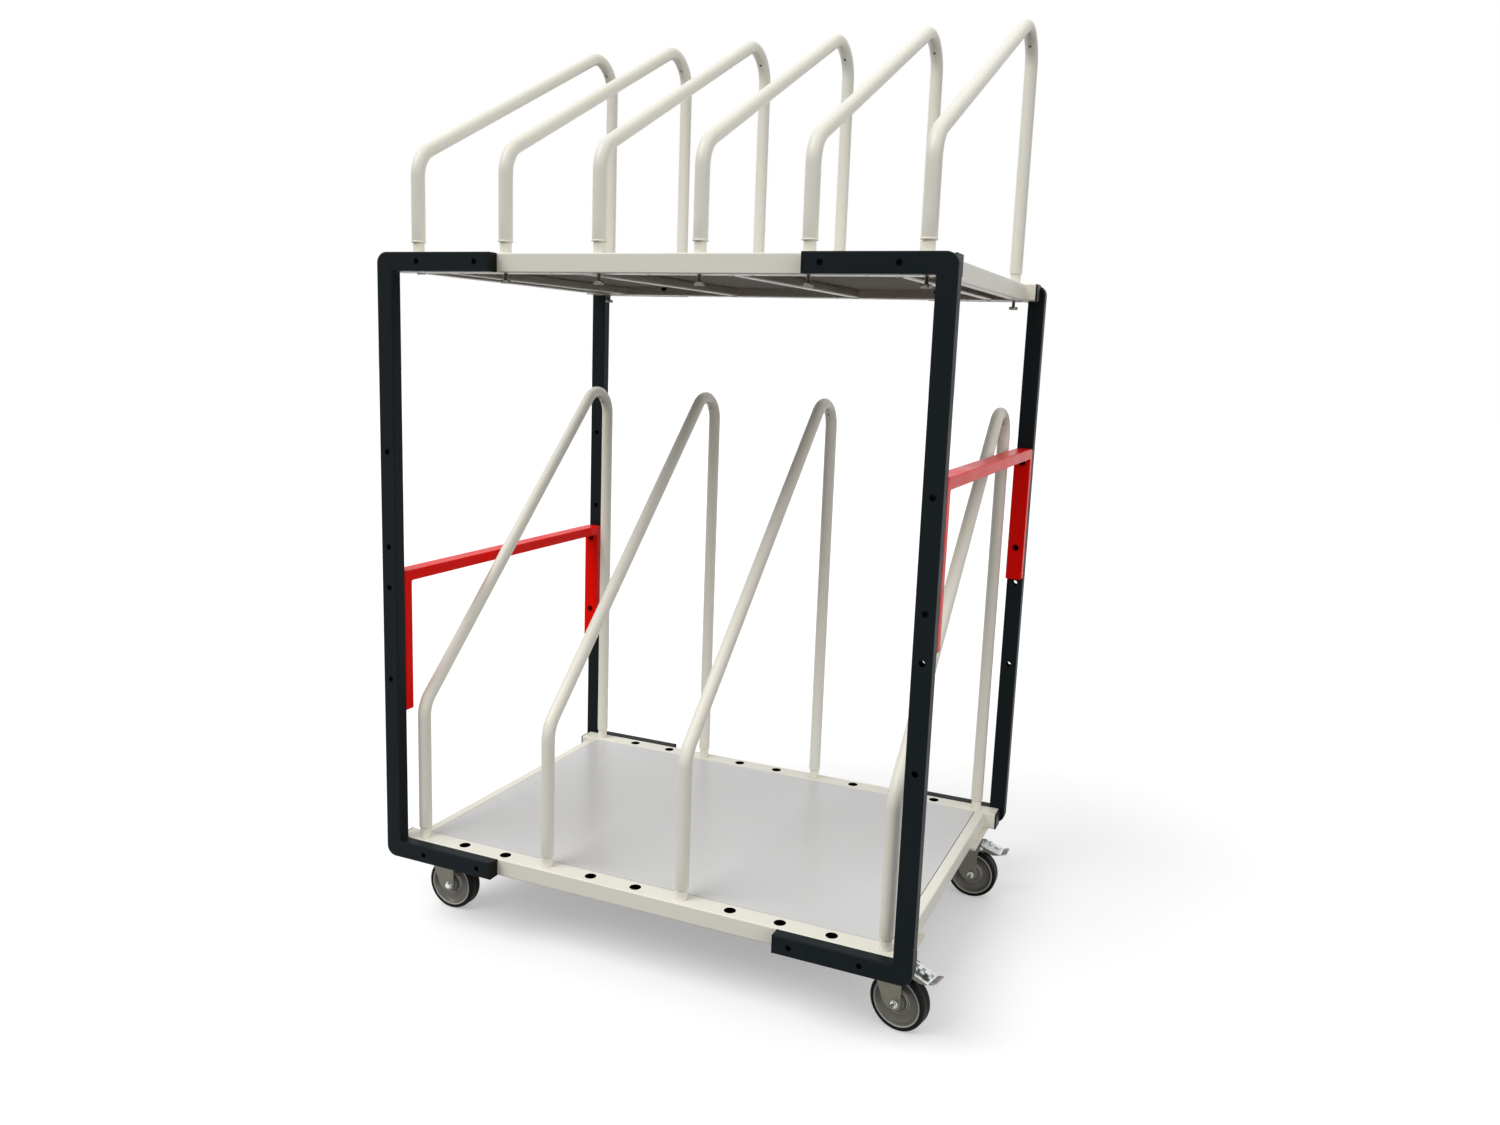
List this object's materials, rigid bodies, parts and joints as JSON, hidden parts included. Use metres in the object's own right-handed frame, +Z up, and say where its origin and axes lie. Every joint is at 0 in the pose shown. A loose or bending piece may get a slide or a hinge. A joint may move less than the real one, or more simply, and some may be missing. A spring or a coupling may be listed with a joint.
{
  "type": "flat carton trolley",
  "caption": "Two-deck tube trolley with sloped tube dividers in socket rows for flat cartons, C-shaped side frames, bolted handles and swivel casters with brake pedals.",
  "frame": {"origin": "on the floor under the middle of the whole, as it stands with its casters trailing to the right; the side frames' middle is 18 mm to the left of it", "axes": "+X along the decks to the viewer's right, +Y from the low front of the dividers to their high rear, +Z up"},
  "size_m": [1.3167, 0.93, 2.1423],
  "materials": {
    "cream_paint": "satin powder coat, light cream",
    "anthracite_paint": "satin powder coat, anthracite",
    "red_paint": "gloss powder coat, signal red",
    "laminate": "light grey laminated board",
    "zinc": "bright zinc plate",
    "black_steel": "black oxide",
    "black_plastic": "fine matt",
    "wheel_plastic": "dark grey, matt",
    "tyre_rubber": "smooth black rubber"
  },
  "bodies": {
    "frame": {"front_left_frame": "anthracite_paint", "front_right_frame": "anthracite_paint", "rear_left_frame": "anthracite_paint", "rear_right_frame": "anthracite_paint", "arm_caps": "black_plastic", "lower_front_beam": "cream_paint", "lower_rear_beam": "cream_paint", "lower_side_rails": "cream_paint", "lower_cross_rails": "cream_paint", "lower_panel": "laminate", "upper_front_beam": "cream_paint", "upper_rear_beam": "cream_paint", "upper_side_rails": "cream_paint", "upper_cross_rails": "cream_paint", "upper_panel": "laminate", "beam_caps": "black_plastic", "left_handle": "red_paint", "right_handle": "red_paint", "cap_screws": "black_steel", "sleeve_nuts": "black_steel", "corner_plates": "cream_paint", "caster_plates": "zinc", "caster_screws": "zinc"},
    "lower_divider_1": {"lower_divider_1": "cream_paint"},
    "lower_divider_2": {"lower_divider_2": "cream_paint"},
    "lower_divider_3": {"lower_divider_3": "cream_paint"},
    "lower_divider_4": {"lower_divider_4": "cream_paint"},
    "upper_divider_1": {"upper_divider_1": "cream_paint", "retaining_bolts_1": "zinc"},
    "upper_divider_2": {"upper_divider_2": "cream_paint", "retaining_bolts_2": "zinc"},
    "upper_divider_3": {"upper_divider_3": "cream_paint", "retaining_bolts_3": "zinc"},
    "upper_divider_4": {"upper_divider_4": "cream_paint", "retaining_bolts_4": "zinc"},
    "upper_divider_5": {"upper_divider_5": "cream_paint", "retaining_bolts_5": "zinc"},
    "upper_divider_6": {"upper_divider_6": "cream_paint", "retaining_bolts_6": "zinc"},
    "front_left_swivel": {"front_left_fork": "zinc", "front_left_axle": "zinc"},
    "front_left_wheel": {"front_left_wheel": "wheel_plastic", "front_left_tyre": "tyre_rubber"},
    "front_right_swivel": {"front_right_fork": "zinc", "front_right_axle": "zinc"},
    "front_right_wheel": {"front_right_wheel": "wheel_plastic", "front_right_tyre": "tyre_rubber"},
    "front_pedal": {"front_brake_pedal": "zinc"},
    "rear_left_swivel": {"rear_left_fork": "zinc", "rear_left_axle": "zinc"},
    "rear_left_wheel": {"rear_left_wheel": "wheel_plastic", "rear_left_tyre": "tyre_rubber"},
    "rear_right_swivel": {"rear_right_fork": "zinc", "rear_right_axle": "zinc"},
    "rear_right_wheel": {"rear_right_wheel": "wheel_plastic", "rear_right_tyre": "tyre_rubber"},
    "rear_pedal": {"rear_brake_pedal": "zinc"}
  },
  "joints": [
    {"name": "lower_divider_1_lift", "type": "slide", "parent": "frame", "child": "lower_divider_1", "axis": [0, 0, 1], "range_m": [0, 0.06]},
    {"name": "lower_divider_2_lift", "type": "slide", "parent": "frame", "child": "lower_divider_2", "axis": [0, 0, 1], "range_m": [0, 0.06]},
    {"name": "lower_divider_3_lift", "type": "slide", "parent": "frame", "child": "lower_divider_3", "axis": [0, 0, 1], "range_m": [0, 0.06]},
    {"name": "lower_divider_4_lift", "type": "slide", "parent": "frame", "child": "lower_divider_4", "axis": [0, 0, 1], "range_m": [0, 0.06]},
    {"name": "upper_divider_1_lift", "type": "slide", "parent": "frame", "child": "upper_divider_1", "axis": [0, 0, 1], "range_m": [0, 0.0135]},
    {"name": "upper_divider_2_lift", "type": "slide", "parent": "frame", "child": "upper_divider_2", "axis": [0, 0, 1], "range_m": [0, 0.0135]},
    {"name": "upper_divider_3_lift", "type": "slide", "parent": "frame", "child": "upper_divider_3", "axis": [0, 0, 1], "range_m": [0, 0.0135]},
    {"name": "upper_divider_4_lift", "type": "slide", "parent": "frame", "child": "upper_divider_4", "axis": [0, 0, 1], "range_m": [0, 0.0135]},
    {"name": "upper_divider_5_lift", "type": "slide", "parent": "frame", "child": "upper_divider_5", "axis": [0, 0, 1], "range_m": [0, 0.0135]},
    {"name": "upper_divider_6_lift", "type": "slide", "parent": "frame", "child": "upper_divider_6", "axis": [0, 0, 1], "range_m": [0, 0.0135]},
    {"name": "front_left_swivel_turn", "type": "hinge", "parent": "frame", "child": "front_left_swivel", "pos_m": [-0.584, -0.334, 0.15], "axis": [0, 0, 1], "continuous": true},
    {"name": "front_left_wheel_spin", "type": "hinge", "parent": "front_left_swivel", "child": "front_left_wheel", "pos_m": [-0.562, -0.334, 0.0625], "axis": [0, 1, 0], "continuous": true},
    {"name": "front_right_swivel_turn", "type": "hinge", "parent": "frame", "child": "front_right_swivel", "pos_m": [0.548, -0.334, 0.15], "axis": [0, 0, 1], "continuous": true},
    {"name": "front_right_wheel_spin", "type": "hinge", "parent": "front_right_swivel", "child": "front_right_wheel", "pos_m": [0.56952, -0.33857, 0.0625], "axis": [0.2079, 0.9781, 0], "continuous": true},
    {"name": "front_pedal_press", "type": "hinge", "parent": "front_right_swivel", "child": "front_pedal", "pos_m": [0.59202, -0.34336, 0.1395], "axis": [0.2079, 0.9781, 0], "range_deg": [0, 14]},
    {"name": "rear_left_swivel_turn", "type": "hinge", "parent": "frame", "child": "rear_left_swivel", "pos_m": [-0.584, 0.334, 0.15], "axis": [0, 0, 1], "continuous": true},
    {"name": "rear_left_wheel_spin", "type": "hinge", "parent": "rear_left_swivel", "child": "rear_left_wheel", "pos_m": [-0.562, 0.334, 0.0625], "axis": [0, 1, 0], "continuous": true},
    {"name": "rear_right_swivel_turn", "type": "hinge", "parent": "frame", "child": "rear_right_swivel", "pos_m": [0.548, 0.334, 0.15], "axis": [0, 0, 1], "continuous": true},
    {"name": "rear_right_wheel_spin", "type": "hinge", "parent": "rear_right_swivel", "child": "rear_right_wheel", "pos_m": [0.57, 0.334, 0.0625], "axis": [0, 1, 0], "continuous": true},
    {"name": "rear_pedal_press", "type": "hinge", "parent": "rear_right_swivel", "child": "rear_pedal", "pos_m": [0.593, 0.334, 0.1395], "axis": [0, 1, 0], "range_deg": [0, 14]}
  ]
}
